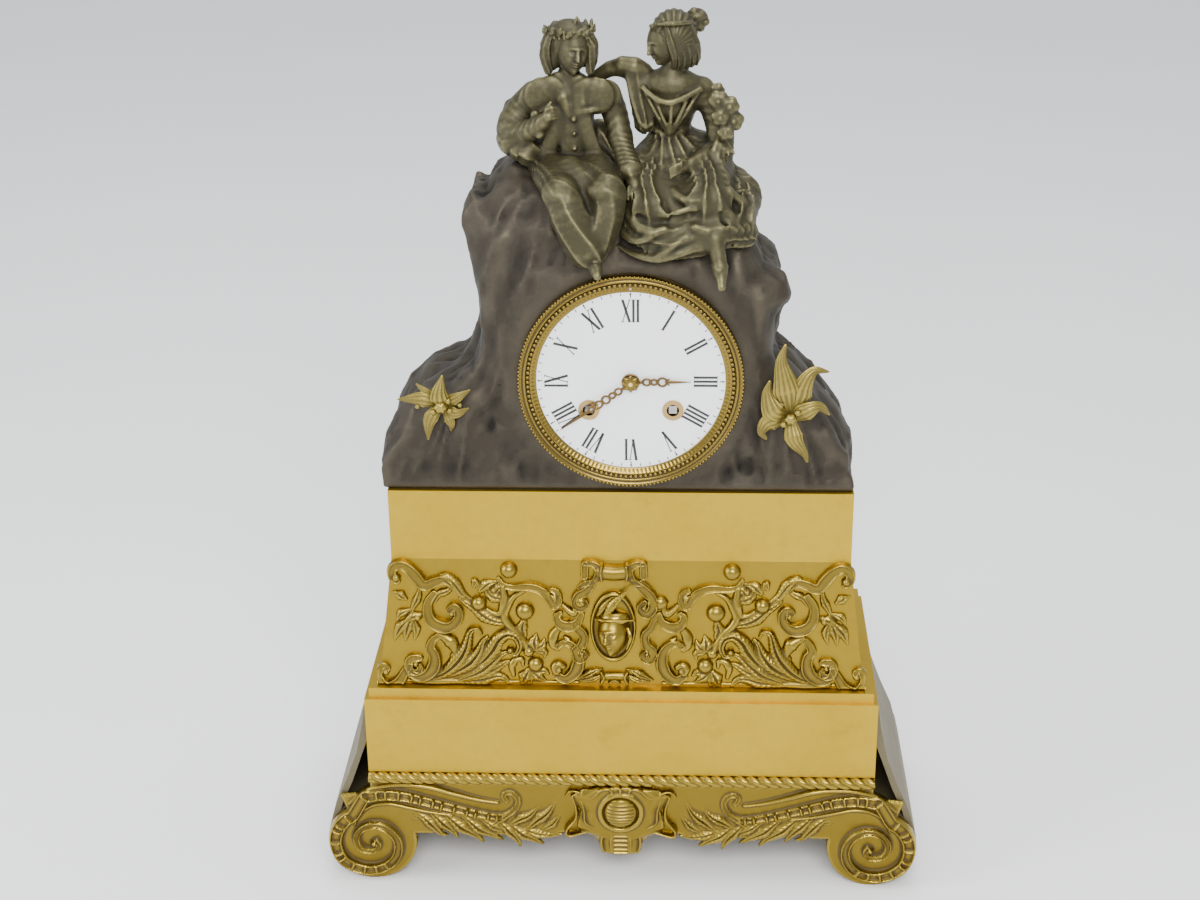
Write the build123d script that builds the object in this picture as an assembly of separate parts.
"""A figural mantel clock: gilt and patinated bronze case, enamel dial and a round striking movement.

Millimetres. X runs to the right, Y to the back, Z up. The origin is on the table, under the middle of the box.
Angles on the dial and in the movement are seen from the front, turning from +X towards +Z.
"""

import math
import os

from build123d import *

# ---------------------------------------------------------------- case, overall
BASE_W = 278.0  # lower plinth, side to side
BASE_FRONT = -60.0  # front face of the lower plinth
BASE_REAR = 64.0
RELIEF = 8.0  # how far the middle boss of the apron stands in front of the plinth
PLINTH_BOTTOM_Z = 71.1
PLINTH_TOP_Z = 117.0
LEDGE_H = 6.0
FRIEZE_H = 71.0
UPPER_W = 245.0  # upper plinth, side to side
UPPER_FRONT = -42.0
UPPER_REAR = 50.0
UPPER_H = 40.0
WALL = 3.0  # sheet and casting thickness of the boxes
DECK_T = 4.0

# feet and apron
FOOT_R = 25.0
FOOT_FLAT = 0.4  # how much of each scroll is worn flat under it
FOOT_X = 139.4
FLARE = 25.0  # how far the side panels spread beyond the plinth
PANEL_FRONT = -56.0
PANEL_REAR = 58.0
APRON_T = 7.0
ROPE_R = 3.6
REAR_FOOT_T = 10.0

# rock
ROCK_FRONT = -40.0
ROCK_REAR = 44.0
ROCK_WALL = 6.0
ROCK_FLOOR = 4.0

# ---------------------------------------------------------------- dial
DIAL_X = 6.0
DIAL_Z = 297.0
ENAMEL_R = 49.2
ENAMEL_SIGHT_R = 48.5  # what the bezel leaves open
ENAMEL_T = 2.0
DIAL_PLATE_T = 1.2
BEZEL_R = 58.0
BORE_R = 54.0  # round opening through the rock
BEZEL_H = 6.0
HOUR_HAND_L = 31.0
MINUTE_HAND_L = 45.0
HOUR_HAND_DEG = 0.7  # both hands, seen from the front, from +X towards +Z
MINUTE_HAND_DEG = -144.4
COLLET_R = 5.5
WINDING_HOLE_R = 3.2

# ---------------------------------------------------------------- movement
PLATE_R = 47.0
PLATE_T = 2.0
INNER_GAP = 28.0  # between the plates
BACK_PLATE_Y = INNER_GAP - 27.0  # rear face of the back plate; the front plate keeps its place
RUN = 0.06  # radial clearance of every pivot and pipe
SHAKE = 0.1  # end play of every arbor
ARBOR_R = 0.9
FINE_ARBOR_R = 0.6  # arbors that run in the smallest pinions
PIVOT_R = 0.5
CENTRE_ARBOR_R = 1.1
CANNON_R = 1.9
HOUR_PIPE_R = 2.8
SQUARE = 4.2  # winding squares, across flats

# teeth of the trains, and the module of each meeting pair
BARREL_TEETH = 84
BARREL_PINION = 14
BARREL_MODULE = 0.48
INTER_TEETH = 72
CENTRE_PINION = 8
INTER_MODULE = 0.40
CENTRE_TEETH = 84
THIRD_PINION = 7
CENTRE_MODULE = 0.32
THIRD_TEETH = 77
ESCAPE_PINION = 7
THIRD_MODULE = 0.30
ESCAPE_TEETH = 35
ESCAPE_R = 7.5
STRIKE2_TEETH = 72
PIN_PINION = 8
STRIKE2_MODULE = 0.36
PIN_TEETH = 72
WARN_PINION = 8
PIN_MODULE = 0.32
WARN_TEETH = 56
FLY_PINION = 7
WARN_MODULE = 0.28
CANNON_TEETH = 12
MINUTE_TEETH = 36
CANNON_MODULE = 0.40
MINUTE_PINION = 10
HOUR_TEETH = 40

# directions from one arbor to the next, degrees
CENTRE_TO_INTER = 23.81
INTER_TO_BARREL = -72.67
CENTRE_TO_THIRD = 112.2
THIRD_TO_ESCAPE = 64.12
STRIKE2_TO_PIN = 59.96
PIN_TO_WARN = 75.1
WARN_TO_FLY = 170.0
BARREL_TO_STRIKE2 = 96.96
ESCAPE_TO_ANCHOR = 90.0

DRUM_R = 19.2
DRUM_WALL = 0.8
PILLAR_R = 2.5
PILLAR_RING_R = 42.0
PILLAR_DEG = (270.0, 150.0, 30.0, 80.0)
COUNT_WHEEL_R = 16.0
PENDULUM_Y = BACK_PLATE_Y + 11.0
PENDULUM_L = 151.0
PENDULUM_ROD_R = 1.0
BOB_R = 17.0
BOB_T = 9.0
RATING_ARBOR_UP = 51.0  # above the dial centre
BELL_R = 32.0
BELL_AT = (12.0, -8.0)
BELL_T = 1.2
BELL_MOUTH_Y = BACK_PLATE_Y + 19.0
BELL_DEPTH = 16.0
HAMMER_AT = (-33.5, 31.0)
HAMMER_HEAD_AT = (-24.5, -8.0)
HAMMER_HEAD_R = 3.2

# ---------------------------------------------------------------- rear door
REAR_RING_R = 60.0
REAR_RING_SIGHT_R = 46.0
REAR_RING_T = 3.0
DOOR_R = 52.0
DOOR_T = 1.3
DOOR_GAP = 0.3
HINGE_R = 1.6
HINGE_PIN_R = 0.8
HINGE_LEAF = 2.9

# ---------------------------------------------------------------- worked out
LEDGE_TOP_Z = PLINTH_TOP_Z + LEDGE_H
FRIEZE_TOP_Z = LEDGE_TOP_Z + FRIEZE_H
DECK_TOP_Z = FRIEZE_TOP_Z + UPPER_H
BACK_INNER_Y = BACK_PLATE_Y - PLATE_T
FRONT_INNER_Y = BACK_INNER_Y - INNER_GAP
FRONT_PLATE_Y = FRONT_INNER_Y - PLATE_T
ENAMEL_BACK_Y = ROCK_FRONT
ENAMEL_FRONT_Y = ENAMEL_BACK_Y - ENAMEL_T


def polar(start, degrees, distance):
    """The point at a distance and direction from start."""
    turn = math.radians(degrees)
    return (start[0] + distance * math.cos(turn), start[1] + distance * math.sin(turn))


def pitch(teeth_a, teeth_b, module):
    """The distance between two arbors whose wheels mesh."""
    return (teeth_a + teeth_b) * module / 2


# arbor places, from the dial centre
CENTRE = (0.0, 0.0)
INTER = polar(CENTRE, CENTRE_TO_INTER, pitch(INTER_TEETH, CENTRE_PINION, INTER_MODULE))
BARREL = polar(INTER, INTER_TO_BARREL, pitch(BARREL_TEETH, BARREL_PINION, BARREL_MODULE))
THIRD = polar(CENTRE, CENTRE_TO_THIRD, pitch(CENTRE_TEETH, THIRD_PINION, CENTRE_MODULE))
ESCAPE = polar(THIRD, THIRD_TO_ESCAPE, pitch(THIRD_TEETH, ESCAPE_PINION, THIRD_MODULE))
PALLET_REACH = math.radians(43.7)  # half of eight and a half escape teeth
ANCHOR = polar(ESCAPE, ESCAPE_TO_ANCHOR, ESCAPE_R / math.cos(PALLET_REACH))
STRIKE = (-BARREL[0], BARREL[1])
STRIKE2 = polar(STRIKE, BARREL_TO_STRIKE2, pitch(BARREL_TEETH, BARREL_PINION, BARREL_MODULE))
PIN = polar(STRIKE2, STRIKE2_TO_PIN, pitch(STRIKE2_TEETH, PIN_PINION, STRIKE2_MODULE))
WARN = polar(PIN, PIN_TO_WARN, pitch(PIN_TEETH, WARN_PINION, PIN_MODULE))
FLY = polar(WARN, WARN_TO_FLY, pitch(WARN_TEETH, FLY_PINION, WARN_MODULE))
MINUTE = (0.0, -pitch(CANNON_TEETH, MINUTE_TEETH, CANNON_MODULE))
HOUR_MODULE = -2 * MINUTE[1] / (MINUTE_PINION + HOUR_TEETH)
RATING = (0.0, RATING_ARBOR_UP)
TURNING = (CENTRE, INTER, THIRD, ESCAPE, ANCHOR, STRIKE2, PIN, WARN, FLY)

# y of the front face of each wheel, and its thickness
BARREL_TOOTH_Y = (BACK_INNER_Y - 17, 2.0)
DRUM_Y = (BACK_INNER_Y - 3, 14.0)
INTER_WHEEL_Y = (BACK_INNER_Y - 22.5, 1.5)
CENTRE_WHEEL_Y = (BACK_INNER_Y - 20, 1.2)
THIRD_WHEEL_Y = (BACK_INNER_Y - 25, 1.0)
ESCAPE_WHEEL_Y = (BACK_INNER_Y - 8, 1.5)
PIN_WHEEL_Y = (BACK_INNER_Y - 12, 1.0)
WARN_WHEEL_Y = (BACK_INNER_Y - 17, 1.0)
CANNON_Y = (FRONT_PLATE_Y - 1.2, 1.0)
HOUR_WHEEL_Y = (FRONT_PLATE_Y - 3.3, 1.0)
HOUR_HAND_Y = (ENAMEL_FRONT_Y - 1.1, 0.9)
MINUTE_HAND_Y = (ENAMEL_FRONT_Y - 2.7, 0.8)


# ---------------------------------------------------------------- helpers
def front_plane(y):
    """A plane seen from the front: its x is +X, its y is +Z, and it faces -Y."""
    return Plane(origin=(0, y, 0), x_dir=(1, 0, 0), z_dir=(0, -1, 0))


def slab(sketch, back_y, depth):
    """A sketch drawn in X and Z, from back_y towards the front."""
    return extrude(front_plane(back_y) * sketch, amount=depth)


def on_dial(shape):
    """Moves a shape drawn about the dial centre to its place."""
    return Pos(DIAL_X, 0, DIAL_Z) * shape


def spot(place, radius):
    """A round outline at a place."""
    return Pos(place[0], place[1]) * Circle(radius)


def rod(place, back_y, depth, radius):
    """A round bar along Y."""
    return slab(spot(place, radius), back_y, depth)


def outline(points):
    """A closed outline with straight sides, whichever way round its points run."""
    turned = sum(a[0] * b[1] - b[0] * a[1] for a, b in zip(points, points[1:] + points[:1]))
    return Polygon(*(points if turned > 0 else points[::-1]), align=None)


def block(x, y, z):
    """A box from three pairs of limits."""
    size = (x[1] - x[0], y[1] - y[0], z[1] - z[0])
    return Pos((x[0] + x[1]) / 2, (y[0] + y[1]) / 2, (z[0] + z[1]) / 2) * Box(*size)


def both_sides(shape):
    """A shape and its mirror image in the plane X = 0."""
    return [shape, mirror(shape, Plane.YZ)]


def bar(start, end, radius):
    """A round-ended bar between two points."""
    a = Vector(*start)
    b = Vector(*end)
    plane = Plane(origin=a, z_dir=b - a)
    straight = extrude(plane * Circle(radius), amount=(b - a).length)
    return straight + Pos(*start) * Sphere(radius) + Pos(*end) * Sphere(radius)


# ---------------------------------------------------------------- gears
TOOTH_HALF = 0.175  # half of a tooth at the pitch circle, as a share of the pitch
TOOTH_TIP = 0.075
TOOTH_ROOT = 0.215


def gear_outline(teeth, module, phase, pinion=False):
    """Teeth as trapezoids with flat flanks, a tooth centred on the phase angle."""
    pitch_r = teeth * module / 2
    rise = 0.62 if pinion else 0.95
    drop = 1.35 if pinion else 1.1
    step = 360 / teeth
    points = []
    for k in range(teeth):
        at = phase + k * step
        points.append(polar(CENTRE, at - TOOTH_ROOT * step, pitch_r - drop * module))
        points.append(polar(CENTRE, at - TOOTH_HALF * step, pitch_r))
        points.append(polar(CENTRE, at - TOOTH_TIP * step, pitch_r + rise * module))
        points.append(polar(CENTRE, at + TOOTH_TIP * step, pitch_r + rise * module))
        points.append(polar(CENTRE, at + TOOTH_HALF * step, pitch_r))
        points.append(polar(CENTRE, at + TOOTH_ROOT * step, pitch_r - drop * module))
    return outline(points)


def meshing_phase(place_a, teeth_a, phase_a, place_b, teeth_b):
    """The phase that puts a gap of gear b opposite each tooth of gear a."""
    toward = math.degrees(math.atan2(place_b[1] - place_a[1], place_b[0] - place_a[0]))
    through = ((toward - phase_a) * teeth_a / 360) % 1
    return toward + 180 - (0.5 - through) * 360 / teeth_b


def wheel(place, teeth, module, phase, level, spokes=5):
    """A crossed-out wheel, with its middle solid for the arbor that is joined to it."""
    pitch_r = teeth * module / 2
    rim = pitch_r - 3.2 * module - 0.6
    boss = 2.6
    body = gear_outline(teeth, module, phase)
    if spokes and rim > boss + 2:
        body = body - Circle(rim) + Circle(boss)
        for k in range(spokes):
            spoke = Pos((rim + boss) / 2, 0) * Rectangle(rim - boss + 1.2, 1.1)
            body = body + Rot(0, 0, 360 * k / spokes) * spoke
    return slab(Pos(*place) * body, level[0], level[1])


def pinion(place, teeth, module, phase, back_y, depth):
    """The leaves of a pinion."""
    return slab(Pos(*place) * gear_outline(teeth, module, phase, pinion=True), back_y, depth)


def arbor(place, radius=ARBOR_R, pivot=PIVOT_R, back_end=None, front_end=None):
    """An arbor between the plates, with a pivot in each of them or a longer end where one is given."""
    back = BACK_PLATE_Y if back_end is None else back_end
    front = FRONT_PLATE_Y if front_end is None else front_end
    middle = rod(place, BACK_INNER_Y - SHAKE, INNER_GAP - 2 * SHAKE, radius)
    return middle + rod(place, back, back - front, pivot)


def bored(plate, place, radius):
    """A plate with a hole through it along Y."""
    return plate - rod(place, 200, 400, radius)


# phases of the two trains, each from the wheel before it
BARREL_PHASE = 0.0
INTER_PINION_PHASE = meshing_phase(BARREL, BARREL_TEETH, BARREL_PHASE, INTER, BARREL_PINION)
INTER_PHASE = 0.0
CENTRE_PINION_PHASE = meshing_phase(INTER, INTER_TEETH, INTER_PHASE, CENTRE, CENTRE_PINION)
CENTRE_PHASE = 0.0
THIRD_PINION_PHASE = meshing_phase(CENTRE, CENTRE_TEETH, CENTRE_PHASE, THIRD, THIRD_PINION)
THIRD_PHASE = 0.0
ESCAPE_PINION_PHASE = meshing_phase(THIRD, THIRD_TEETH, THIRD_PHASE, ESCAPE, ESCAPE_PINION)
STRIKE2_PINION_PHASE = meshing_phase(STRIKE, BARREL_TEETH, BARREL_PHASE, STRIKE2, BARREL_PINION)
STRIKE2_PHASE = 0.0
PIN_PINION_PHASE = meshing_phase(STRIKE2, STRIKE2_TEETH, STRIKE2_PHASE, PIN, PIN_PINION)
PIN_PHASE = 0.0
WARN_PINION_PHASE = meshing_phase(PIN, PIN_TEETH, PIN_PHASE, WARN, WARN_PINION)
WARN_PHASE = 0.0
FLY_PINION_PHASE = meshing_phase(WARN, WARN_TEETH, WARN_PHASE, FLY, FLY_PINION)
CANNON_PHASE = 0.0
MINUTE_PHASE = meshing_phase(CENTRE, CANNON_TEETH, CANNON_PHASE, MINUTE, MINUTE_TEETH)
MINUTE_PINION_PHASE = 0.0
HOUR_PHASE = meshing_phase(MINUTE, MINUTE_PINION, MINUTE_PINION_PHASE, CENTRE, HOUR_TEETH)


# ---------------------------------------------------------------- base
def lower_plinth():
    """A plain box, open below, with a skirt inside its front and rear for the apron and the rear feet."""
    half = BASE_W / 2
    body = block((-half, half), (BASE_FRONT, BASE_REAR), (PLINTH_BOTTOM_Z, PLINTH_TOP_Z))
    inner = half - WALL
    body -= block((-inner, inner), (BASE_FRONT + WALL, BASE_REAR - WALL), (0, PLINTH_TOP_Z - WALL))
    body -= well(WALL, PLINTH_TOP_Z)
    skirt_y = PANEL_FRONT - 1.0
    body += block((-inner, inner), (skirt_y, skirt_y + WALL), (APRON_TOP_Z - 14, PLINTH_BOTTOM_Z + 3))
    body += block((-inner, inner), (PANEL_REAR - WALL, PANEL_REAR), (2 * FOOT_R, PLINTH_BOTTOM_Z + 3))
    body += block((-inner, inner), (PANEL_REAR - WALL, BASE_REAR), (PLINTH_BOTTOM_Z, PLINTH_BOTTOM_Z + 3))
    return drilled(body, 0, PLINTH_TOP_Z)


APRON_TOP_Z = PLINTH_BOTTOM_Z - 2 * ROPE_R - 0.1
APRON_BACK = PANEL_FRONT - 1.0
FOOT_Z = FOOT_R - FOOT_FLAT
ROD_X = UPPER_W / 2 - 22.5
ROD_FRONT_Y = UPPER_FRONT + 16.0
ROD_REAR_Y = UPPER_REAR - 18.0
ROD_R = 2.5
ROD_PLACES = [(x, y) for x in (-ROD_X, ROD_X) for y in (ROD_FRONT_Y, ROD_REAR_Y)]
NUT_R = 4.6
NUT_T = 4.0


def well(depth, top_z):
    """The opening that the plinth tops and the ledge leave for the pendulum."""
    half = ROD_X - 8
    return block((-half, half), (ROD_FRONT_Y + 6, ROD_REAR_Y - 6), (top_z - depth - 1, top_z + 1))


def drilled(body, bottom_z, top_z):
    """A body with the four holes that the tie rods pass through."""
    for x, y in ROD_PLACES:
        body -= Pos(x, y, (bottom_z + top_z) / 2) * Cylinder(ROD_R, top_z - bottom_z + 2)
    return body


def plinth_ledge():
    """The flat moulding between the lower plinth and the frieze."""
    half = BASE_W / 2 - 2.5
    body = block((-half, half), (BASE_FRONT + 2, BASE_REAR - 2), (PLINTH_TOP_Z, LEDGE_TOP_Z))
    body -= well(LEDGE_H, LEDGE_TOP_Z)
    return drilled(body, PLINTH_TOP_Z, LEDGE_TOP_Z)


def foot_disc(front_y, depth, radius):
    """A scroll foot, seen from the front, worn flat where it stands."""
    disc = Pos(FOOT_X, FOOT_Z) * Circle(radius)
    under = Pos(FOOT_X, -radius) * Rectangle(4 * radius, 2 * radius)
    return slab(disc - under, front_y + depth, depth)


def base_apron():
    """The cast front: a scroll at each end, leaves between them and a fluted boss in the middle."""
    front_y = APRON_BACK - APRON_T
    inner = FOOT_X - 0.8 * FOOT_R
    lower_edge = Spline(
        (0, 24.0), (12, 26.0), (19, 36.0), (40, 32.0), (66, 22.0), (90, 33.0), (inner, 44.0)
    )
    edge = lower_edge + Line((inner, 44.0), (inner, APRON_TOP_Z)) + Line((inner, APRON_TOP_Z), (0, APRON_TOP_Z))
    half = make_face(edge + Line((0, APRON_TOP_Z), (0, 24.0)))
    band = slab(half, APRON_BACK, APRON_T)
    disc = foot_disc(front_y, APRON_T, FOOT_R)
    shoulder = slab(outline([(inner, 44), (FOOT_X, 45), (FOOT_X, APRON_TOP_Z - 6), (inner, APRON_TOP_Z)]),
                    APRON_BACK, APRON_T)
    right = band + disc + shoulder
    boss_depth = front_y - (BASE_FRONT - RELIEF)
    boss = slab(Pos(0, 46) * Circle(15), front_y, boss_depth)
    return right + mirror(right, Plane.YZ) + boss


def rope_moulding():
    """The rope bar between the apron and the plinth, flat at its back."""
    middle_z = PLINTH_BOTTOM_Z - ROPE_R
    bar_x = Pos(0, BASE_FRONT, middle_z) * Rot(0, 90, 0) * Cylinder(ROPE_R, BASE_W)
    back = block((-BASE_W, BASE_W), (APRON_BACK, 0), (0, 2 * middle_z))
    return bar_x - back


def side_panel():
    """The right side sheet: it flares down from the plinth and rolls under into a scroll foot."""
    top = BASE_W / 2
    reach = FOOT_X + FLARE - 0.4
    outer = [(top, PLINTH_TOP_Z), (top + 2.5, 100), (top + 7, 80), (top + 13, 64), (top + 20, 48), (reach, 30)]
    inner = [(reach - 3.5, 30), (top + 16.5, 47), (top + 10, 62), (top + 4, 79), (top, 90)]
    sheet = slab(outline(outer + inner), PANEL_REAR, PANEL_REAR - PANEL_FRONT)
    depth = PANEL_REAR - PANEL_FRONT
    tube = foot_disc(PANEL_FRONT, depth, FOOT_R)
    tube -= slab(Pos(FOOT_X, FOOT_Z) * Circle(FOOT_R - 4), PANEL_REAR, depth)
    return sheet + tube


def rear_feet():
    """Two plain bronze scrolls that carry the rear corners."""
    disc = foot_disc(PANEL_REAR, REAR_FOOT_T, FOOT_R)
    inner = FOOT_X - FOOT_R
    arm = [(inner, 40), (FOOT_X, 45), (BASE_W / 2, PLINTH_BOTTOM_Z), (inner - 30, PLINTH_BOTTOM_Z),
           (inner - 30, 58)]
    foot = disc + slab(outline(arm), PANEL_REAR + REAR_FOOT_T, REAR_FOOT_T)
    return both_sides(foot)


# ---------------------------------------------------------------- frieze and upper plinth
FRIEZE_BOTTOM_HALF = BASE_W / 2 - 8
FRIEZE_BOTTOM_FRONT = BASE_FRONT + 8
SLOPE = math.hypot(FRIEZE_H, UPPER_FRONT - FRIEZE_BOTTOM_FRONT)
RELIEF_T = 6.0
MASK_X = -3.0
MASK_HALF_W = 23.0
MASK_T = 8.0


def frustum(shrink):
    """The sloping solid of the frieze, or its inside when it is shrunk."""
    z = (LEDGE_TOP_Z, FRIEZE_TOP_Z)
    half = (FRIEZE_BOTTOM_HALF - shrink, UPPER_W / 2 - shrink)
    front = (FRIEZE_BOTTOM_FRONT + shrink, UPPER_FRONT + shrink)
    rear = (BASE_REAR - 6 - shrink, UPPER_REAR - shrink)
    rings = []
    for k in (0, 1):
        corners = [(-half[k], front[k]), (half[k], front[k]), (half[k], rear[k]), (-half[k], rear[k])]
        rings.append(Pos(0, 0, z[k]) * outline(corners))
    return loft(rings, ruled=True)


def frieze_shell():
    """The sloping shell behind the cast ornament."""
    return frustum(0) - frustum(WALL)


def frieze_plane():
    """The sloping front face: its x is +X and its y runs up the slope from the ledge."""
    lean = (UPPER_FRONT - FRIEZE_BOTTOM_FRONT) / SLOPE
    facing = (0, -FRIEZE_H / SLOPE, lean)
    return Plane(origin=(0, FRIEZE_BOTTOM_FRONT, LEDGE_TOP_Z), x_dir=(1, 0, 0), z_dir=facing)


def mask_outline(grow):
    """The outline of the middle cartouche, with a straight gap left round it when it grows."""
    half = MASK_HALF_W + grow
    low = [(-half, 3 - grow), (half, 3 - grow), (half, 44), (half - 5, SLOPE - 4)]
    high = [(half - 8, SLOPE + 4 + grow), (8 - half, SLOPE + 4 + grow), (5 - half, SLOPE - 4), (-half, 44)]
    return Pos(MASK_X, 0) * outline(low + high)


def clear_of_plinth(relief):
    """A relief whose top stands in front of the upper plinth, cut flat where it lies on it."""
    return relief - block((-BASE_W, BASE_W), (UPPER_FRONT, UPPER_REAR), (FRIEZE_TOP_Z, DECK_TOP_Z))


def frieze_ornament():
    """The cast relief of scrolls and leaves, open in the middle for the cartouche."""
    bottom = FRIEZE_BOTTOM_HALF - 0.5
    top = UPPER_W / 2
    wave = [(top, SLOPE - 2), (top - 8, SLOPE + 3), (top - 24, SLOPE - 8), (top - 52, SLOPE - 2), (top - 90, SLOPE - 12)]
    right = [(0, 1), (bottom, 1)] + wave + [(0, SLOPE - 12)]
    left = [(-x, z) for x, z in right]
    face = outline(right) + outline(left) - mask_outline(0.2)
    return clear_of_plinth(extrude(frieze_plane() * face, amount=RELIEF_T))


def mask_cartouche():
    """The strapwork cartouche with a small egg-shaped head standing out of it."""
    plate = extrude(frieze_plane() * mask_outline(0), amount=MASK_T - 3)
    head = frieze_plane() * Pos(MASK_X, 38, MASK_T - 5) * Sphere(9.5)
    limit = frieze_plane() * Pos(MASK_X, 38, MASK_T / 2) * Box(60, 60, MASK_T)
    return clear_of_plinth(plate + (head & limit))


def upper_plinth():
    """The plain box under the rock, open above and below."""
    half = UPPER_W / 2
    body = block((-half, half), (UPPER_FRONT, UPPER_REAR), (FRIEZE_TOP_Z, DECK_TOP_Z))
    inner = half - WALL
    return body - block((-inner, inner), (UPPER_FRONT + WALL, UPPER_REAR - WALL), (0, DECK_TOP_Z + 1))


PENDULUM_SLOT = (20.0, 8.0)  # half sizes, left to right and front to back


def pendulum_slot(bottom_z, top_z):
    """Where the pendulum passes through the deck and the floor of the rock."""
    half_x, half_y = PENDULUM_SLOT
    return block((DIAL_X - half_x, DIAL_X + half_x), (PENDULUM_Y - half_y, PENDULUM_Y + half_y), (bottom_z, top_z))


def deck_plate():
    """The plate let into the top of the upper plinth."""
    half = UPPER_W / 2 - WALL
    body = block((-half, half), (UPPER_FRONT + WALL, UPPER_REAR - WALL), (DECK_TOP_Z - DECK_T, DECK_TOP_Z))
    body -= pendulum_slot(0, DECK_TOP_Z + 1)
    return drilled(body, DECK_TOP_Z - DECK_T, DECK_TOP_Z)


def tie_rods():
    """Four long rods with a nut at each end, which clamp the boxes and the rock together."""
    low = PLINTH_TOP_Z - WALL
    high = DECK_TOP_Z + ROCK_FLOOR
    pieces = []
    for x, y in ROD_PLACES:
        length = high - low + 2 * NUT_T + 2
        pieces.append(Pos(x, y, (low + high) / 2) * Cylinder(ROD_R, length))
        for z in (low - NUT_T / 2, high + NUT_T / 2):
            nut = extrude(Pos(x, y, z - NUT_T / 2) * RegularPolygon(NUT_R, 6), amount=NUT_T)
            pieces.append(nut - Pos(x, y, z) * Cylinder(ROD_R, 2 * NUT_T))
    return pieces


# ---------------------------------------------------------------- rock, figures and flowers
SEAT_Z = DECK_TOP_Z + 166.0
BOLT_R = 2.2
BOLT_PLACES = ((-30.0, 4.0), (30.0, 6.0))
ROCK_EDGE = [
    (-1.020, 0), (-1.004, 18), (-0.947, 34), (-0.841, 51), (-0.669, 60), (-0.588, 81), (-0.588, 108),
    (-0.604, 127), (-0.629, 150), (-0.588, 158), (-0.539, 155), (-0.514, 164), (-0.457, 170), (-0.327, 166),
    (0.327, 166), (0.457, 158), (0.506, 153), (0.571, 129), (0.620, 116), (0.686, 110), (0.702, 103),
    (0.661, 92), (0.653, 69), (0.735, 56), (0.882, 38), (0.980, 16), (1.004, 0),
]
ROCK_INSIDE = [
    (-0.914, 0), (-0.882, 21), (-0.800, 38), (-0.637, 50), (-0.522, 66), (-0.506, 111), (-0.522, 141),
    (-0.327, 152), (0.327, 152), (0.473, 116), (0.571, 96), (0.571, 66), (0.653, 51), (0.800, 34),
    (0.898, 16), (0.914, 0),
]


def rock_outline(edge, bottom_z):
    """A side-to-side outline of the rock, given as shares of the upper plinth's half width and heights."""
    return outline([(x * UPPER_W / 2, bottom_z + z) for x, z in edge])


def rockwork():
    """The hollow rock: a round opening for the dial and movement, a floor, and a seat on top."""
    body = slab(rock_outline(ROCK_EDGE, DECK_TOP_Z), ROCK_REAR, ROCK_REAR - ROCK_FRONT)
    top = DECK_TOP_Z + 180
    side = [(ROCK_FRONT, DECK_TOP_Z), (ROCK_REAR, DECK_TOP_Z), (ROCK_REAR, DECK_TOP_Z + 126), (26, top), (-22, top),
            (ROCK_FRONT, DECK_TOP_Z + 125)]
    width = Plane(origin=(-UPPER_W, 0, 0), x_dir=(0, 1, 0), z_dir=(1, 0, 0))
    body &= extrude(width * outline(side), amount=2 * UPPER_W)
    hollow = slab(rock_outline(ROCK_INSIDE, DECK_TOP_Z + ROCK_FLOOR), ROCK_REAR - ROCK_WALL,
                  ROCK_REAR - ROCK_FRONT - 2 * ROCK_WALL)
    narrow = block((-UPPER_W, UPPER_W), (-26, 30), (DECK_TOP_Z + 122, top))
    wide = block((-UPPER_W, UPPER_W), (-200, 200), (0, DECK_TOP_Z + 122))
    body -= hollow & (narrow + wide)
    body -= on_dial(rod(CENTRE, 200, 400, BORE_R))
    body -= pendulum_slot(0, DECK_TOP_Z + ROCK_FLOOR + 1)
    body = drilled(body, DECK_TOP_Z, DECK_TOP_Z + ROCK_FLOOR)
    for x, y in BOLT_PLACES:
        body -= Pos(x, y, SEAT_Z) * Cylinder(BOLT_R, 60)
    return body


def figure(parts, cut_away):
    """One solid from bars given as start, end and radius, resting on what is cut away from it."""
    body = None
    for start, end, radius in parts:
        limb = bar(start, end, radius)
        body = limb if body is None else body + limb
    for piece in cut_away:
        body -= piece
    for x, y in BOLT_PLACES:
        body -= Pos(x, y, SEAT_Z) * Cylinder(BOLT_R, 60)
    return max(body.solids(), key=lambda solid: solid.volume)


def man_figure(rock):
    """A seated man: head, trunk, one arm bent to his chest, one arm down, breeches and hanging legs."""
    parts = [
        ((-24, -12, 464), (-25, -12, 470), 10.5),
        ((-26, -8, 446), (-24, -11, 458), 5.5),
        ((-29, 2, 404), (-26, -5, 434), 15.0),
        ((-42, -3, 437), (-9, -5, 436), 8.0),
        ((-45, -3, 436), (-52, -10, 421), 7.0),
        ((-52, -10, 421), (-38, -26, 433), 5.5),
        ((-6, -5, 435), (3, -16, 414), 6.5),
        ((3, -16, 414), (8, -30, 398), 4.5),
        ((-36, -4, 404), (-30, -38, 398), 10.0),
        ((-20, -4, 404), (-7, -38, 400), 10.0),
        ((-30, -38, 398), (-16, -47, 374), 8.0),
        ((-7, -38, 400), (-9, -46, 380), 8.0),
        ((-14, -47, 372), (-9, -50, 362), 4.5),
    ]
    return figure(parts, [rock])


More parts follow.
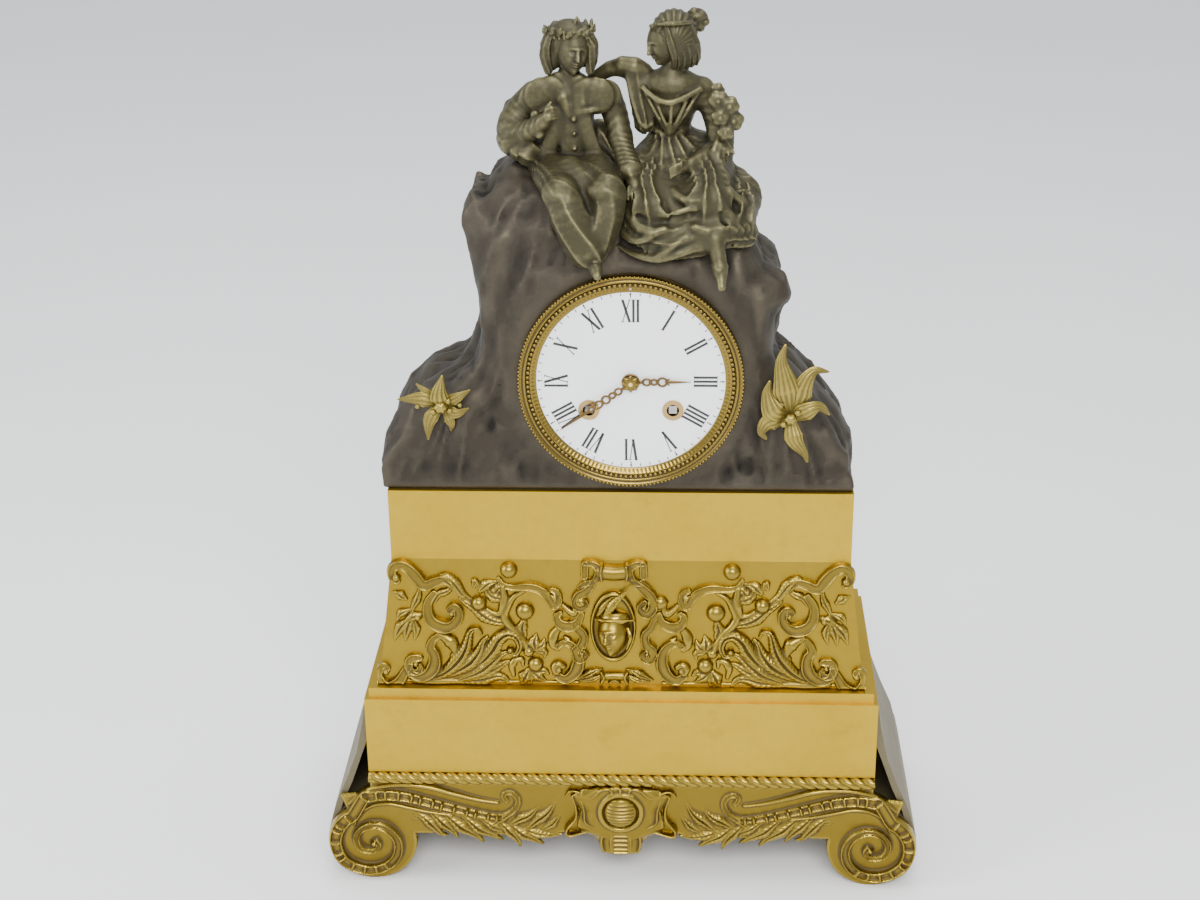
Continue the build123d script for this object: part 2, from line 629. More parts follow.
def woman_figure(rock, man):
    """A seated woman: head with a bun, bodice, an arm round the man, and a wide skirt over the seat."""
    parts = [
        ((27, -12, 468), (27, -11, 471), 11.5),
        ((24, -8, 450), (25, -10, 460), 5.0),
        ((27, 0, 410), (24, -5, 440), 12.0),
        ((8, -4, 446), (42, -4, 440), 6.5),
        ((44, -4, 438), (51, -10, 416), 6.5),
        ((51, -10, 416), (36, -30, 408), 5.0),
        ((52, -24, 424), (56, -24, 432), 6.0),
        ((24, 2, 404), (46, 2, 402), 16.0),
        ((20, -6, 398), (14, -34, 390), 14.0),
        ((44, -4, 398), (42, -36, 386), 15.0),
        ((42, -36, 386), (58, -34, 378), 12.0),
        ((12, -38, 382), (40, -42, 374), 9.0),
        ((52, -48, 370), (51, -51, 358), 4.5),
        ((54, -40, 376), (52, -48, 370), 6.0),
    ]
    return figure(parts, [rock, man])


def figure_bolts():
    """A screw up into each figure, with a head inside the rock."""
    pieces = []
    for x, y in BOLT_PLACES:
        head_z = DECK_TOP_Z + ROCK_FLOOR + 152
        head = Pos(x, y, head_z - 1.5) * Cylinder(4.0, 3.0)
        pieces.append(head + Pos(x, y, head_z + 12) * Cylinder(BOLT_R, 24))
    return pieces


LEAF_T = 2.5
LEFT_FLOWER = ((-92.0, 284.0), ((65, 23, 5), (178, 22, 5), (262, 24, 4.5), (330, 19, 4.5)))
RIGHT_FLOWER = ((90.0, 284.0), ((97, 34, 6.5), (32, 26, 6), (245, 20, 7), (295, 30, 5), (335, 24, 5)))


def flower(middle, leaves):
    """A cast spray of pointed leaves, each given by its direction, length and half width."""
    face = Circle(6)
    for degrees, length, half in leaves:
        leaf = [(0, -half * 0.6), (length * 0.45, -half), (length, 0), (length * 0.45, half), (0, half * 0.6)]
        face = face + Rot(0, 0, degrees) * outline(leaf)
    return slab(Pos(*middle) * face, ROCK_FRONT, LEAF_T)


# ---------------------------------------------------------------- bezel, dial and hands
SPIGOT_GAP = 0.2
SPIGOT_R = BORE_R - SPIGOT_GAP
SPIGOT_T = 1.4
SPIGOT_L = 5.0
LIP_T = 0.6


def bezel_ring():
    """The gilt ring round the dial: a flange on the rock, a spigot in its bore, a lip over the enamel."""
    crest = ROCK_FRONT - BEZEL_H
    lip = ENAMEL_FRONT_Y
    section = [
        (ENAMEL_SIGHT_R, lip), (ENAMEL_SIGHT_R, lip - LIP_T), (BEZEL_R - 6, crest + 1.0), (BEZEL_R - 4.6, crest + 1.2),
        (BEZEL_R - 3, crest + 1.8), (BEZEL_R - 1.5, crest), (BEZEL_R, crest + 1.5), (BEZEL_R, ROCK_FRONT),
        (SPIGOT_R, ROCK_FRONT), (SPIGOT_R, ROCK_FRONT + SPIGOT_L), (SPIGOT_R - SPIGOT_T, ROCK_FRONT + SPIGOT_L),
        (SPIGOT_R - SPIGOT_T, lip),
    ]
    ring = revolve(Plane.XY * outline(section), Axis.Y)
    return on_dial(bored(ring, RATING, ARBOR_R + 0.2))


def dial_plate():
    """The brass disc behind the enamel."""
    body = rod(CENTRE, ENAMEL_BACK_Y + DIAL_PLATE_T, DIAL_PLATE_T, SPIGOT_R - SPIGOT_T - 0.4)
    body = bored(body, CENTRE, HOUR_PIPE_R + 0.4)
    body = bored(body, BARREL, WINDING_HOLE_R)
    body = bored(body, STRIKE, WINDING_HOLE_R)
    return on_dial(bored(body, RATING, ARBOR_R + 0.2))


def dial_enamel():
    """The white enamel dial, with a hole for the hands and two for the key."""
    body = rod(CENTRE, ENAMEL_BACK_Y, ENAMEL_T, ENAMEL_R)
    body = bored(body, CENTRE, HOUR_PIPE_R + 0.4)
    body = bored(body, BARREL, COLLET_R - 0.8)
    return on_dial(bored(body, STRIKE, COLLET_R - 0.8))


def winding_collets():
    """Brass rings let into the enamel round the two winding holes."""
    rings = []
    for place in (BARREL, STRIKE):
        ring = rod(place, ENAMEL_BACK_Y, ENAMEL_T, COLLET_R - 0.8)
        ring += rod(place, ENAMEL_FRONT_Y, 0.6, COLLET_R)
        rings.append(on_dial(bored(ring, place, WINDING_HOLE_R)))
    return rings


def hand(length, hub_r, bore_r, degrees, level, loops):
    """A pierced hand: a hub, rings along its arm, and a long point."""
    face = Circle(hub_r)
    for middle, radius in loops:
        face = face + Pos(middle, 0) * Circle(radius)
    last, widest = loops[-1]
    point = [(0, -1.0), (last, -0.8), (last + widest, -1.1), (length, -0.15), (length, 0.15),
             (last + widest, 1.1), (last, 0.8), (0, 1.0)]
    face = face + outline(point)
    for middle, radius in loops:
        face = face - Pos(middle, 0) * Circle(radius - 0.9)
    face = Rot(0, 0, degrees) * (face - Circle(bore_r))
    return on_dial(slab(face, level[0], level[1]))


def hour_hand():
    """The hour hand, tight on the hour pipe."""
    loops = ((7.5, 2.8), (12.0, 2.4), (17.0, 3.2))
    return hand(HOUR_HAND_L, HOUR_PIPE_R + 1.6, HOUR_PIPE_R, HOUR_HAND_DEG, HOUR_HAND_Y, loops)


def minute_hand():
    """The minute hand, tight on the cannon pinion's pipe."""
    loops = ((7.5, 2.6), (12.5, 2.2), (18.0, 2.8), (23.0, 2.2))
    return hand(MINUTE_HAND_L, CANNON_R + 1.9, CANNON_R, MINUTE_HAND_DEG, MINUTE_HAND_Y, loops)


def hand_collet():
    """The domed nut that holds the minute hand on the centre arbor."""
    back_y = MINUTE_HAND_Y[0] - MINUTE_HAND_Y[1]
    return on_dial(bored(rod(CENTRE, back_y, 1.2, CANNON_R + 1.0), CENTRE, CENTRE_ARBOR_R))


# ---------------------------------------------------------------- plates
LUG_TOP = RATING_ARBOR_UP + 1.7


def plate(back_y, extra_holes):
    """A round plate with a lug at the top for the rating arbor, and a hole for every pivot."""
    body = spot(CENTRE, PLATE_R) + Pos(0, (LUG_TOP + 40) / 2) * Rectangle(5, LUG_TOP - 40)
    for place in TURNING:
        body = body - spot(place, PIVOT_R + RUN)
    body = body - spot(RATING, ARBOR_R + RUN)
    for place, radius in extra_holes:
        body = body - spot(place, radius)
    return slab(body, back_y, PLATE_T)


def front_plate():
    """The plate behind the dial, with the stud that the minute wheel turns on."""
    holes = [(polar(CENTRE, turn, PILLAR_RING_R), PILLAR_R - 1) for turn in PILLAR_DEG]
    holes += [(CENTRE, CENTRE_ARBOR_R + RUN), (HAMMER_AT, PIVOT_R + RUN)]
    holes += [(BARREL, CENTRE_ARBOR_R + RUN), (STRIKE, CENTRE_ARBOR_R + RUN)]
    stud = rod(MINUTE, FRONT_PLATE_Y, 5.2, STUD_R)
    return on_dial(plate(FRONT_INNER_Y, holes) + stud)


STUD_R = 0.8


def back_plate():
    """The plate that carries the bell, the suspension and the count wheel."""
    holes = [(BARREL, PIVOT_R + RUN), (STRIKE, PIVOT_R + RUN), (HAMMER_AT, ARBOR_R + RUN)]
    holes += [(STRIKE2, ARBOR_R + RUN), (ANCHOR, ARBOR_R + RUN), (BELL_AT, 1.2)]
    return on_dial(plate(BACK_PLATE_Y, holes))


def plate_pillars():
    """Four turned pillars between the plates, each with a pinned end through the front plate."""
    pillars = []
    for turn in PILLAR_DEG:
        place = polar(CENTRE, turn, PILLAR_RING_R)
        body = rod(place, BACK_INNER_Y, INNER_GAP, PILLAR_R) + rod(place, FRONT_INNER_Y, 4.0, PILLAR_R - 1)
        pin_y = FRONT_PLATE_Y - 0.6
        hole = Pos(place[0], pin_y, place[1]) * Cylinder(0.45, 10)
        pillars.append(on_dial(body - hole))
    return pillars


def pillar_pins():
    """A taper pin through the end of each pillar."""
    pins = []
    for turn in PILLAR_DEG:
        x, z = polar(CENTRE, turn, PILLAR_RING_R)
        pins.append(on_dial(Pos(x, FRONT_PLATE_Y - 0.6, z) * Cylinder(0.45, 7)))
    return pins


STRAP_X = PLATE_R + 2.8
STRAP_T = 1.2
STRAP_HALF_W = 4.0
STRAP_SCREW_R = 1.3
STRAP_SCREW_X = STRAP_X - 4.5


def movement_straps():
    """Two iron straps from the bezel's spigot back to lugs behind the movement."""
    front = ROCK_FRONT + 2.0
    z = (-STRAP_HALF_W, STRAP_HALF_W)
    body = block((STRAP_X, STRAP_X + STRAP_T), (front, ROCK_REAR), z)
    spigot_inside = SPIGOT_R - SPIGOT_T
    lug_end = math.sqrt(spigot_inside ** 2 - STRAP_HALF_W ** 2)
    body += block((STRAP_X, lug_end), (front, front + STRAP_T), z)
    lug = block((STRAP_X - 8, STRAP_X + STRAP_T), (ROCK_REAR - 2, ROCK_REAR), z)
    body += bored(lug, (STRAP_SCREW_X, 0), STRAP_SCREW_R)
    return [on_dial(piece) for piece in both_sides(body)]


def strap_screws():
    """The two long screws that clamp the rear ring to the straps."""
    outer_y = ROCK_REAR + REAR_RING_T
    body = rod((STRAP_SCREW_X, 0), outer_y, REAR_RING_T + 6, STRAP_SCREW_R)
    head = rod((STRAP_SCREW_X, 0), outer_y, 1.4, 2.4)
    slot = block((STRAP_SCREW_X - 3, STRAP_SCREW_X + 3), (outer_y - 0.4, outer_y + 1), (-0.3, 0.3))
    return [on_dial(piece) for piece in both_sides(body + head - slot)]


# ---------------------------------------------------------------- going train
def barrel(place):
    """A spring barrel: drum, toothed floor and cover, turning on its arbor."""
    teeth = Pos(*place) * gear_outline(BARREL_TEETH, BARREL_MODULE, BARREL_PHASE)
    body = slab(teeth, BARREL_TOOTH_Y[0], BARREL_TOOTH_Y[1])
    body += rod(place, DRUM_Y[0], DRUM_Y[1], DRUM_R)
    body -= rod(place, DRUM_Y[0] - DRUM_WALL, DRUM_Y[1] - DRUM_WALL, DRUM_R - 1.0)
    return on_dial(bored(body, place, BARREL_ARBOR_R + RUN))


BARREL_ARBOR_R = 2.0
RATCHET_TEETH = 24
RATCHET_R = 6.0


def winding_arbor(place):
    """A barrel arbor: a hub for the mainspring, a ratchet in front of the plate, and a square for the key."""
    body = rod(place, BACK_INNER_Y - SHAKE, INNER_GAP - 2 * SHAKE, BARREL_ARBOR_R)
    body += rod(place, BACK_PLATE_Y, PLATE_T + SHAKE, PIVOT_R)
    hub_back = DRUM_Y[0] - DRUM_WALL - SHAKE
    body += rod(place, hub_back, DRUM_Y[1] - DRUM_WALL - 2 * SHAKE, 5.0)
    body += rod(place, FRONT_INNER_Y + SHAKE, PLATE_T + 1.5, CENTRE_ARBOR_R)
    points = []
    for k in range(RATCHET_TEETH):
        at = 360 * k / RATCHET_TEETH
        points += [polar(CENTRE, at, RATCHET_R), polar(CENTRE, at + 1, RATCHET_R - 0.9)]
    body += slab(Pos(*place) * outline(points), FRONT_PLATE_Y - 1.0, 1.2)
    square = Pos(*place) * Rectangle(SQUARE, SQUARE)
    body += slab(square, FRONT_PLATE_Y - 2.2, FRONT_PLATE_Y - 2.2 - ENAMEL_FRONT_Y - 0.6)
    return on_dial(body)


def mainsprings():
    """The two coiled springs, as strips that run round inside the barrels."""
    turns = 8
    count = 24 * turns
    start_r = 6.4
    growth = (DRUM_R - 2.6 - start_r) / count
    inner = [polar(CENTRE, 15 * k, start_r + growth * k) for k in range(count + 1)]
    outer = [polar(CENTRE, 15 * k, start_r + growth * k + 0.5) for k in range(count + 1)]
    strip = outline(inner + outer[::-1])
    back = DRUM_Y[0] - DRUM_WALL - 0.6
    depth = DRUM_Y[1] - DRUM_WALL - 1.2
    return [on_dial(slab(Pos(*place) * strip, back, depth)) for place in (BARREL, STRIKE)]


def winding_clicks():
    """A click beside each ratchet, clear of the tips of its teeth, on a shouldered screw."""
    clicks = []
    for place, turn in ((BARREL, -60), (STRIKE, -120)):
        nose = polar(place, turn + 20, RATCHET_R + 0.9)
        heel = polar(place, turn, RATCHET_R + 5.5)
        body = bar((nose[0], FRONT_PLATE_Y - 1.6, nose[1]), (heel[0], FRONT_PLATE_Y - 1.6, heel[1]), 0.6)
        body += rod(heel, FRONT_PLATE_Y, 2.6, 1.6)
        clicks.append(on_dial(body))
    return clicks


def intermediate_wheel():
    """The arbor between the going barrel and the centre."""
    body = arbor(INTER)
    body += wheel(INTER, INTER_TEETH, INTER_MODULE, INTER_PHASE, INTER_WHEEL_Y)
    body += pinion(INTER, BARREL_PINION, BARREL_MODULE, INTER_PINION_PHASE, BARREL_TOOTH_Y[0] + 2, 4.2)
    return on_dial(body)


def centre_wheel():
    """The arbor that turns once an hour and carries the minute hand."""
    body = arbor(CENTRE, radius=CENTRE_ARBOR_R, back_end=BACK_PLATE_Y)
    front = MINUTE_HAND_Y[0] - MINUTE_HAND_Y[1] - 1.4
    body += rod(CENTRE, FRONT_INNER_Y + SHAKE, FRONT_INNER_Y + SHAKE - front, CENTRE_ARBOR_R)
    body += wheel(CENTRE, CENTRE_TEETH, CENTRE_MODULE, CENTRE_PHASE, CENTRE_WHEEL_Y)
    body += pinion(CENTRE, CENTRE_PINION, INTER_MODULE, CENTRE_PINION_PHASE, INTER_WHEEL_Y[0] + 0.5, 2.5)
    return on_dial(body)


def third_wheel():
    """The third arbor of the going train."""
    body = arbor(THIRD, radius=FINE_ARBOR_R)
    body += wheel(THIRD, THIRD_TEETH, THIRD_MODULE, THIRD_PHASE, THIRD_WHEEL_Y)
    body += pinion(THIRD, THIRD_PINION, CENTRE_MODULE, THIRD_PINION_PHASE, CENTRE_WHEEL_Y[0] + 0.5, 2.3)
    return on_dial(body)


def escape_wheel():
    """The escape wheel, with pointed teeth, on its arbor."""
    points = []
    for k in range(ESCAPE_TEETH):
        at = 360 * k / ESCAPE_TEETH
        points += [polar(CENTRE, at, ESCAPE_R), polar(CENTRE, at + 2.6, ESCAPE_R - 1.5)]
        points += [polar(CENTRE, at + 7.2, ESCAPE_R - 1.5)]
    body = arbor(ESCAPE, radius=FINE_ARBOR_R)
    rim = outline(points) - Circle(ESCAPE_R - 2.4) + Circle(2.2)
    for k in range(4):
        rim = rim + Rot(0, 0, 90 * k) * Pos(ESCAPE_R / 2, 0) * Rectangle(ESCAPE_R - 3.4, 0.8)
    body += slab(Pos(*ESCAPE) * rim, ESCAPE_WHEEL_Y[0], ESCAPE_WHEEL_Y[1])
    body += pinion(ESCAPE, ESCAPE_PINION, THIRD_MODULE, ESCAPE_PINION_PHASE, THIRD_WHEEL_Y[0] + 0.5, 2.0)
    return on_dial(body)


CRUTCH_L = 22.0
FORK_GAP = 0.08


def anchor():
    """The pallet arbor, its anchor over the escape wheel, and the crutch that holds the pendulum rod."""
    body = arbor(ANCHOR, back_end=FRONT_INNER_Y + 1)
    body += rod(ANCHOR, BACK_PLATE_Y + 4.0, 4.0 + PLATE_T + SHAKE, ARBOR_R)
    arms = [(0, 2.4), (6.9, -2.6), (7.4, -5.4), (5.2, -5.2), (3.6, -1.8), (0, -1.2)]
    arms += [(-3.6, -1.8), (-5.2, -5.2), (-7.4, -5.4), (-6.9, -2.6)]
    fork = spot(CENTRE, 2.2) + outline(arms)
    body += slab(Pos(*ANCHOR) * fork - spot(ESCAPE, ESCAPE_R + 0.6), ESCAPE_WHEEL_Y[0], ESCAPE_WHEEL_Y[1])
    x, z = ANCHOR
    back = BACK_PLATE_Y + 2.8
    body += rod(ANCHOR, BACK_PLATE_Y + 4.0, 1.2, 2.0)
    body += block((x - 0.9, x + 0.9), (back, back + 1.2), (z - CRUTCH_L, z))
    inside = PENDULUM_ROD_R + FORK_GAP
    reach = PENDULUM_Y + 2.0
    level = (z - CRUTCH_L, z - CRUTCH_L + 1.6)
    prong = block((x + inside, x + inside + 0.8), (back, reach), level)
    body += prong + mirror(prong, Plane.YZ)
    body += block((x - inside - 0.8, x + inside + 0.8), (back, back + 1.2), level)
    return on_dial(body)


# ---------------------------------------------------------------- pendulum and its suspension
SILK_R = 0.2
SILK_HALF_W = ARBOR_R + SILK_R + 0.05
HOOK_R = 0.95
HOOK_WIRE_R = 0.3
SWING_Z = ANCHOR[1]


def silk_loop():
    """A loop of silk that hangs from the rating arbor."""
    low = SWING_Z + SILK_HALF_W + 0.05
    strand = Pos(SILK_HALF_W, PENDULUM_Y, (low + RATING_ARBOR_UP) / 2)
    strand = strand * Cylinder(SILK_R, RATING_ARBOR_UP - low)
    ring = Pos(0, PENDULUM_Y, low) * Rot(90, 0, 0) * Torus(SILK_HALF_W, SILK_R)
    ring -= block((-9, 9), (0, 30), (low, low + 9))
    return on_dial(ring + strand + mirror(strand, Plane.YZ))


def pendulum_rod():
    """The wire hook and the rod, down through the crutch to the bob."""
    ring_z = SWING_Z - 0.3
    ring = Pos(0, PENDULUM_Y, ring_z) * Rot(0, 90, 0) * Torus(HOOK_R, HOOK_WIRE_R)
    top = ring_z - HOOK_R
    bottom = SWING_Z - PENDULUM_L - BOB_R - 6
    return on_dial(ring + Pos(0, PENDULUM_Y, (top + bottom) / 2) * Cylinder(PENDULUM_ROD_R, top - bottom))


def pendulum_bob():
    """The lens-shaped bob, with its rating nut under it."""
    rise = BOB_T / 2
    curve = (BOB_R ** 2 + rise ** 2) / (2 * rise)
    z = SWING_Z - PENDULUM_L
    lens = Pos(0, PENDULUM_Y + curve - rise, z) * Sphere(curve)
    lens &= Pos(0, PENDULUM_Y - curve + rise, z) * Sphere(curve)
    nut = Pos(0, PENDULUM_Y, z - BOB_R - 2.2) * Cylinder(3.5, 2.4)
    bore = Pos(0, PENDULUM_Y, z) * Cylinder(PENDULUM_ROD_R, 60)
    return [on_dial(lens - bore), on_dial(nut - bore)]


def rating_arbor():
    """The arbor that takes up the silk, with its square showing in the bezel."""
    front = ROCK_FRONT - BEZEL_H + 1.2
    body = rod(RATING, PENDULUM_Y + 2.5, PENDULUM_Y + 2.5 - front - 1.6, ARBOR_R)
    body += slab(Pos(*RATING) * Rectangle(1.2, 1.2), front + 1.6, 1.6)
    return on_dial(body)


# ---------------------------------------------------------------- motion work
def cannon_pinion():
    """The pipe that is friction-tight on the centre arbor and carries the minute hand."""
    front = MINUTE_HAND_Y[0] - MINUTE_HAND_Y[1]
    back = FRONT_PLATE_Y - 0.4
    body = rod(CENTRE, back, back - front, CANNON_R)
    body += pinion(CENTRE, CANNON_TEETH, CANNON_MODULE, CANNON_PHASE, CANNON_Y[0] + 0.4, 1.8)
    return on_dial(bored(body, CENTRE, CENTRE_ARBOR_R))


def minute_wheel():
    """The wheel and pinion that gear the hour hand down, on a stud."""
    body = wheel(MINUTE, MINUTE_TEETH, CANNON_MODULE, MINUTE_PHASE, CANNON_Y)
    back = CANNON_Y[0] - CANNON_Y[1]
    body += pinion(MINUTE, MINUTE_PINION, HOUR_MODULE, MINUTE_PINION_PHASE, back, 2.2)
    return on_dial(bored(body, MINUTE, STUD_R + RUN))


def hour_wheel():
    """The wheel with the pipe that carries the hour hand."""
    body = wheel(CENTRE, HOUR_TEETH, HOUR_MODULE, HOUR_PHASE, HOUR_WHEEL_Y, spokes=0)
    front = HOUR_HAND_Y[0] - HOUR_HAND_Y[1]
    body += rod(CENTRE, HOUR_WHEEL_Y[0], HOUR_WHEEL_Y[0] - front, HOUR_PIPE_R)
    return on_dial(bored(body, CENTRE, CANNON_R + RUN))


# ---------------------------------------------------------------- striking train
PIN_CIRCLE_R = 8.0
PIN_COUNT = 10


def strike_second_wheel():
    """The arbor that turns once in twelve hours and carries the count wheel behind the plate."""
    body = arbor(STRIKE2)
    body += rod(STRIKE2, BACK_PLATE_Y + 3.4, 3.4 + PLATE_T + SHAKE, ARBOR_R)
    body += wheel(STRIKE2, STRIKE2_TEETH, STRIKE2_MODULE, STRIKE2_PHASE, INTER_WHEEL_Y)
    body += pinion(STRIKE2, BARREL_PINION, BARREL_MODULE, STRIKE2_PINION_PHASE, BARREL_TOOTH_Y[0] + 2, 4.2)
    return on_dial(body)


def count_wheel():
    """The notched wheel that counts the blows: twelve hours and a single blow at each half."""
    face = spot(CENTRE, COUNT_WHEEL_R)
    blows = 0
    total = 90
    for hour in range(1, 13):
        for part in (1, hour):
            blows += part
            notch = Pos(COUNT_WHEEL_R - 0.8, 0) * Rectangle(2.4, 0.8)
            face = face - Rot(0, 0, 360 * blows / total) * notch
    face = face - spot(CENTRE, COUNT_WHEEL_R - 4) + spot(CENTRE, 3.0)
    for k in range(4):
        face = face + Rot(0, 0, 90 * k) * Pos(COUNT_WHEEL_R / 2, 0) * Rectangle(COUNT_WHEEL_R - 5, 1.6)
    body = slab(Pos(*STRIKE2) * face, BACK_PLATE_Y + 3.0, 1.0)
    return on_dial(bored(body, STRIKE2, ARBOR_R))


def pin_wheel():
    """The wheel whose pins lift the hammer."""
    body = arbor(PIN)
    body += wheel(PIN, PIN_TEETH, PIN_MODULE, PIN_PHASE, PIN_WHEEL_Y)
    body += pinion(PIN, PIN_PINION, STRIKE2_MODULE, PIN_PINION_PHASE, INTER_WHEEL_Y[0] + 0.5, 2.5)
    face = PIN_WHEEL_Y[0] - PIN_WHEEL_Y[1]
    ring = Circle(PIN_CIRCLE_R + 0.9) - Circle(PIN_CIRCLE_R - 0.9)
    body += slab(Pos(*PIN) * ring, face + PIN_WHEEL_Y[1], PIN_WHEEL_Y[1])
    for k in range(PIN_COUNT):
        body += rod(polar(PIN, 18 + 36 * k, PIN_CIRCLE_R), face, 2.0, 0.4)
    return on_dial(body)


def warning_wheel():
    """The wheel that is held just before the strike."""
    body = arbor(WARN, radius=FINE_ARBOR_R)
    body += wheel(WARN, WARN_TEETH, WARN_MODULE, WARN_PHASE, WARN_WHEEL_Y)
    body += pinion(WARN, WARN_PINION, PIN_MODULE, WARN_PINION_PHASE, PIN_WHEEL_Y[0] + 1, 3.0)
    return on_dial(body)


def fly():
    """The air brake that steadies the blows."""
    body = arbor(FLY, radius=FINE_ARBOR_R)
    body += pinion(FLY, FLY_PINION, WARN_MODULE, FLY_PINION_PHASE, WARN_WHEEL_Y[0] + 0.6, 2.4)
    x, z = FLY
    vane = block((x - 6, x + 6), (BACK_INNER_Y - 10, BACK_INNER_Y - 3), (z - 0.2, z + 0.2))
    return on_dial(body + vane)


def hammer():
    """The hammer arbor, its tail beside the pins, and its arm and head behind the plate."""
    x, z = HAMMER_AT
    arm_y = BACK_PLATE_Y + 6.5
    body = arbor(HAMMER_AT, radius=0.9)
    body += rod(HAMMER_AT, arm_y, arm_y - BACK_INNER_Y + SHAKE, ARBOR_R)
    toward = math.degrees(math.atan2(z - PIN[1], x - PIN[0]))
    tip = polar(PIN, toward, PIN_CIRCLE_R + 1.5)
    tail_y = PIN_WHEEL_Y[0] - PIN_WHEEL_Y[1] - 1.0
    body += bar((x, tail_y, z), (tip[0], tail_y, tip[1]), 0.45)
    hx, hz = HAMMER_HEAD_AT
    arm_mid = arm_y - 0.75
    body += bar((x, arm_mid, z), (hx, arm_mid, hz), 0.75)
    head_back = BELL_MOUTH_Y + 8
    body += rod(HAMMER_HEAD_AT, head_back, 10, HAMMER_HEAD_R)
    body += rod(HAMMER_HEAD_AT, head_back, head_back - arm_y + 1, 1.2)
    return on_dial(body)


def bell():
    """A shallow bronze bell, with its mouth towards the movement."""
    def bowl(radius, back):
        return [(0, back), (radius * 0.35, back - 0.6), (radius * 0.75, back - 4.4), (radius * 0.93, back - 9),
                (radius, BELL_MOUTH_Y)]
    crown = BELL_MOUTH_Y + BELL_DEPTH
    outer = Polyline(*bowl(BELL_R, crown))
    inner = Polyline(*bowl(BELL_R - BELL_T, crown - BELL_T))
    rim = Line((BELL_R, BELL_MOUTH_Y), (BELL_R - BELL_T, BELL_MOUTH_Y))
    axis = Line((0, crown), (0, crown - BELL_T))
    body = revolve(make_face(outer + inner + rim + axis), Axis.Y)
    x, z = BELL_AT
    return on_dial(bored(Pos(x, 0, z) * body, BELL_AT, BELL_POST_R))


BELL_POST_R = 2.0


def bell_post():
    """The post that the bell stands on, and the nut that holds it."""
    crown = BELL_MOUTH_Y + BELL_DEPTH
    seat = crown - BELL_T - 0.4
    body = rod(BELL_AT, crown + 3, crown + 3 - BACK_PLATE_Y, BELL_POST_R)
    body += rod(BELL_AT, seat, 4.0, BELL_POST_R + 1.2)
    body += rod(BELL_AT, BACK_PLATE_Y, PLATE_T, 1.2)
    nut = rod(BELL_AT, crown + 2.4, 2.2, 4.0) - rod(BELL_AT, crown + 5, 9, BELL_POST_R)
    return [on_dial(body), on_dial(nut)]


# ---------------------------------------------------------------- rear ring and door
HINGE_X = DOOR_R + 6.5
HINGE_Y = ROCK_REAR + REAR_RING_T + HINGE_R + 0.4
KNUCKLE_L = 5.0


def knuckle(low_z, high_z, bore_r):
    """A hinge knuckle on the door's axis."""
    middle = (low_z + high_z) / 2
    body = Pos(HINGE_X, HINGE_Y, middle) * Cylinder(HINGE_R, high_z - low_z)
    if bore_r:
        body -= Pos(HINGE_X, HINGE_Y, middle) * Cylinder(bore_r, high_z - low_z + 2)
    return body


def rear_bezel():
    """The ring on the back of the rock, with two knuckles and the pin of the door's hinge."""
    ring = rod(CENTRE, ROCK_REAR + REAR_RING_T, REAR_RING_T, REAR_RING_R)
    ring -= rod(CENTRE, ROCK_REAR + 20, 40, REAR_RING_SIGHT_R)
    for side in (-1, 1):
        ring = bored(ring, (side * STRAP_SCREW_X, 0), STRAP_SCREW_R)
        ring -= rod((side * STRAP_SCREW_X, 0), ROCK_REAR + REAR_RING_T, 1.4, 2.4)
    top = HINGE_LEAF + KNUCKLE_L
    base_y = ROCK_REAR + REAR_RING_T
    for side in (-1, 1):
        z = (HINGE_LEAF + 0.1, top) if side == 1 else (-top, -HINGE_LEAF - 0.1)
        ring += knuckle(z[0], z[1], 0)
        ring += block((HINGE_X - 1.0, HINGE_X + 1.0), (base_y - 1, HINGE_Y), z)
    ring += Pos(HINGE_X, HINGE_Y, 0) * Cylinder(HINGE_PIN_R, 2 * top - 1)
    return on_dial(ring)


def rear_door():
    """The round door over the back of the movement, with a ring of slots that let the bell be heard."""
    back_y = ROCK_REAR + REAR_RING_T + DOOR_GAP + DOOR_T
    face = spot(CENTRE, DOOR_R)
    for k in range(12):
        face = face - Rot(0, 0, 30 * k) * Pos(DOOR_R * 0.66, 0) * SlotOverall(14, 3)
    body = slab(face, back_y, DOOR_T)
    body += rod(polar(CENTRE, 180, DOOR_R - 6), back_y + 5, 5, 2.2)
    leaf = block((DOOR_R - 3, HINGE_X), (back_y - DOOR_T, back_y), (-HINGE_LEAF, HINGE_LEAF))
    body += leaf - Pos(HINGE_X, HINGE_Y, 0) * Cylinder(HINGE_R, 20)
    body += knuckle(-HINGE_LEAF, HINGE_LEAF, HINGE_PIN_R + RUN)
    return on_dial(body)


# ---------------------------------------------------------------- output
def save(name, shape):
    """Writes one node; a list is a group of separate solids."""
    pieces = shape if isinstance(shape, list) else [shape]
    solids = [solid for piece in pieces for solid in piece.solids()]
    export_step(solids[0] if len(solids) == 1 else Compound(children=solids), f"parts/{name}.step")


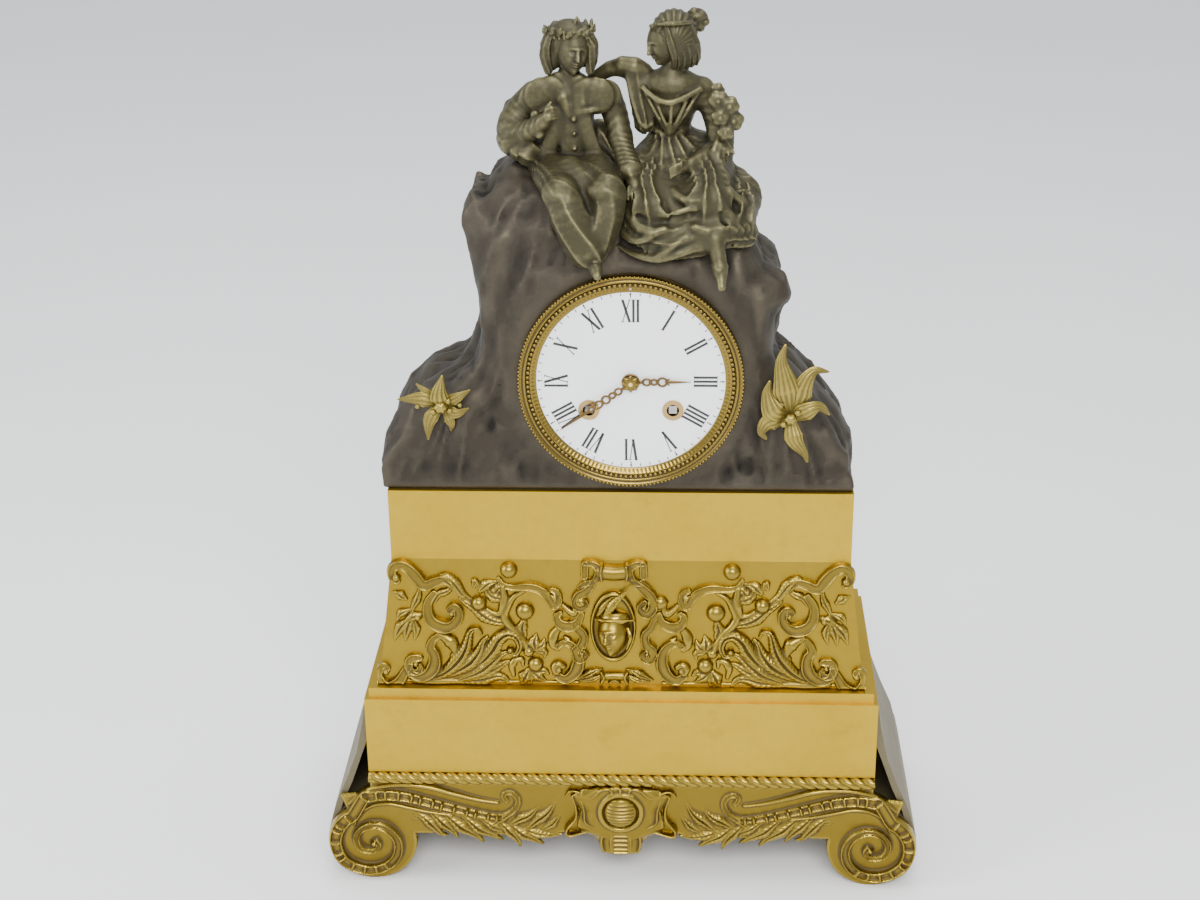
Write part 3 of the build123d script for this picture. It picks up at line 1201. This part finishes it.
def build():
    """Makes every node."""
    os.makedirs("parts", exist_ok=True)
    rock = rockwork()
    man = man_figure(rock)
    panel = side_panel()
    nodes = {
        "lower_plinth": lower_plinth(),
        "base_apron": base_apron(),
        "rope_moulding": rope_moulding(),
        "side_panel_left": mirror(panel, Plane.YZ),
        "side_panel_right": panel,
        "rear_feet": rear_feet(),
        "plinth_ledge": plinth_ledge(),
        "frieze_shell": frieze_shell(),
        "frieze_ornament": frieze_ornament(),
        "mask_cartouche": mask_cartouche(),
        "upper_plinth": upper_plinth(),
        "deck_plate": deck_plate(),
        "tie_rods": tie_rods(),
        "rockwork": rock,
        "man_figure": man,
        "woman_figure": woman_figure(rock, man),
        "figure_bolts": figure_bolts(),
        "flower_left": flower(*LEFT_FLOWER),
        "flower_right": flower(*RIGHT_FLOWER),
        "bezel_ring": bezel_ring(),
        "dial_plate": dial_plate(),
        "dial_enamel": dial_enamel(),
        "winding_collets": winding_collets(),
        "hour_hand": hour_hand(),
        "minute_hand": minute_hand(),
        "hand_collet": hand_collet(),
        "front_plate": front_plate(),
        "back_plate": back_plate(),
        "plate_pillars": plate_pillars(),
        "pillar_pins": pillar_pins(),
        "movement_straps": movement_straps(),
        "strap_screws": strap_screws(),
        "going_barrel": barrel(BARREL),
        "going_winding_arbor": winding_arbor(BARREL),
        "strike_barrel": barrel(STRIKE),
        "strike_winding_arbor": winding_arbor(STRIKE),
        "mainsprings": mainsprings(),
        "winding_clicks": winding_clicks(),
        "intermediate_wheel": intermediate_wheel(),
        "centre_wheel": centre_wheel(),
        "third_wheel": third_wheel(),
        "escape_wheel": escape_wheel(),
        "anchor": anchor(),
        "silk_loop": silk_loop(),
        "pendulum_rod": pendulum_rod(),
        "pendulum_bob": pendulum_bob(),
        "rating_arbor": rating_arbor(),
        "cannon_pinion": cannon_pinion(),
        "minute_wheel": minute_wheel(),
        "hour_wheel": hour_wheel(),
        "strike_second_wheel": strike_second_wheel(),
        "count_wheel": count_wheel(),
        "pin_wheel": pin_wheel(),
        "warning_wheel": warning_wheel(),
        "fly": fly(),
        "hammer": hammer(),
        "bell": bell(),
        "bell_post": bell_post(),
        "rear_bezel": rear_bezel(),
        "rear_door": rear_door(),
    }
    for name, shape in nodes.items():
        save(name, shape)


build()
